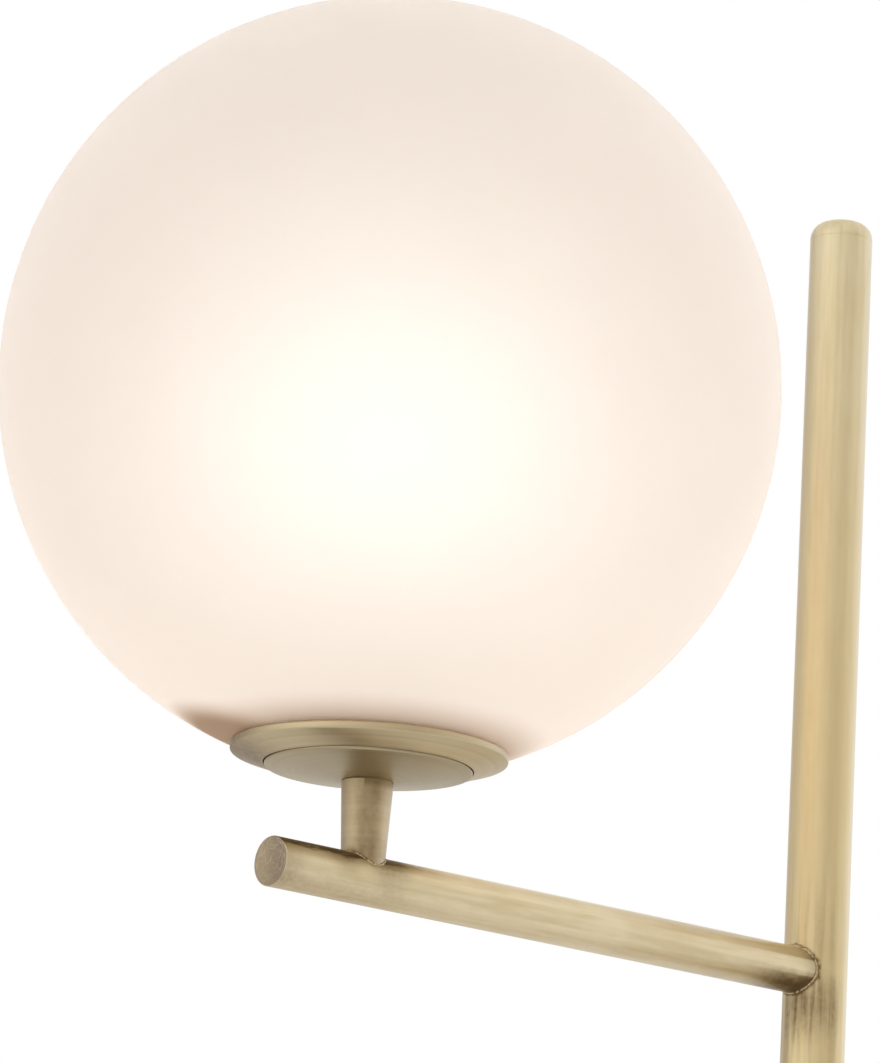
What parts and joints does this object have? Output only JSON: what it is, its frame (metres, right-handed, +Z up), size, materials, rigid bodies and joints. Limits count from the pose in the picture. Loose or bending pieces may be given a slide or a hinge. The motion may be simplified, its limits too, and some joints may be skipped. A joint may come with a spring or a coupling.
{
  "type": "globe floor lamp",
  "caption": "Floor lamp in brushed brass: off-centre pole on a round foot, short cross arm, and an opal glass globe that stands on a tapered stem.",
  "frame": {"origin": "middle of the foot's underside", "axes": "+Z up, +X along the arm from the globe towards the pole"},
  "size_m": [0.4309, 0.3, 1.5963],
  "materials": {
    "brushed_brass": "antique brushed brass, satin, lacquered, with darker patina in places",
    "brass_plain": "bare turned brass",
    "cast_iron": "grey cast iron, matt black dip",
    "zinc_steel": "zinc-plated steel",
    "aluminium": "turned aluminium",
    "black_rubber": "matt black rubber sheet and seals",
    "clear_silicone": "milky silicone rubber",
    "black_plastic": "matt black heat-resistant plastic",
    "grey_plastic": "grey polyamide",
    "white_plastic": "white matt plastic",
    "porcelain": "white glazed porcelain",
    "opal_glass": "blown opal glass, satin outside, lit from within",
    "nickel": "nickel-plated brass",
    "lead_flex": "pale gold PVC flex"
  },
  "bodies": {
    "stand": {"base_pad": "black_rubber", "base_weight": "cast_iron", "base_cover": "brushed_brass", "base_screws": "zinc_steel", "cable_bushing": "black_plastic", "cord_clamp": "zinc_steel", "cord_clamp_screws": "zinc_steel", "terminal_block": "grey_plastic", "terminal_screws": "zinc_steel", "earth_screw": "zinc_steel", "foot_stud": "zinc_steel", "foot_washer": "zinc_steel", "foot_nut": "zinc_steel", "pole_foot_plug": "brass_plain", "pole_lower": "brushed_brass", "pole_coupler_lower": "brass_plain", "pole_middle": "brushed_brass", "pole_coupler_upper": "brass_plain", "pole_upper": "brushed_brass", "pole_cap": "brushed_brass", "arm_tube": "brushed_brass", "arm_cap": "brushed_brass", "stem": "brushed_brass", "stem_nipple": "zinc_steel", "holder_plate": "brushed_brass", "thread_ring": "aluminium", "thread_ring_screws": "zinc_steel", "plate_washer": "zinc_steel", "plate_nut": "zinc_steel", "holder_riser": "brass_plain", "lampholder_cap": "white_plastic", "lampholder_body": "white_plastic", "lampholder_insert": "porcelain", "lampholder_shell": "nickel", "lampholder_contact": "brass_plain", "internal_lead": "lead_flex"},
    "seal": {"collar_seal": "black_rubber"},
    "gasket": {"globe_gasket": "clear_silicone"},
    "globe": {"globe_collar": "brushed_brass", "globe_clamp_ring": "aluminium", "globe_glass": "opal_glass"},
    "bulb_tip": {"bulb_contact": "nickel"},
    "bulb": {"bulb_insulator": "black_plastic", "bulb_cap": "nickel", "bulb_body": "white_plastic", "bulb_diffuser": "white_plastic"}
  },
  "joints": [
    {"name": "globe_lift", "type": "slide", "parent": "stand", "child": "seal", "axis": [0, 0, 1], "range_m": [0, 0.25]},
    {"name": "globe_rise", "type": "slide", "parent": "seal", "child": "gasket", "axis": [0, 0, 1], "range_m": [0, 0.00451]},
    {"name": "globe_turn", "type": "hinge", "parent": "gasket", "child": "globe", "pos_m": [-0.139, 0, 1.305], "axis": [0, 0, 1], "range_deg": [0, 540]},
    {"name": "bulb_rise", "type": "slide", "parent": "stand", "child": "bulb_tip", "axis": [0, 0, 1], "range_m": [0, 0.01635]},
    {"name": "bulb_turn", "type": "hinge", "parent": "bulb_tip", "child": "bulb", "pos_m": [-0.139, 0, 1.365], "axis": [0, 0, 1], "range_deg": [0, 1620]}
  ],
  "couplings": [
    {"joint": "globe_rise", "follows": "globe_turn", "m_per_rad": 0.00047746},
    {"joint": "bulb_rise", "follows": "bulb_turn", "m_per_rad": 0.00057757}
  ]
}
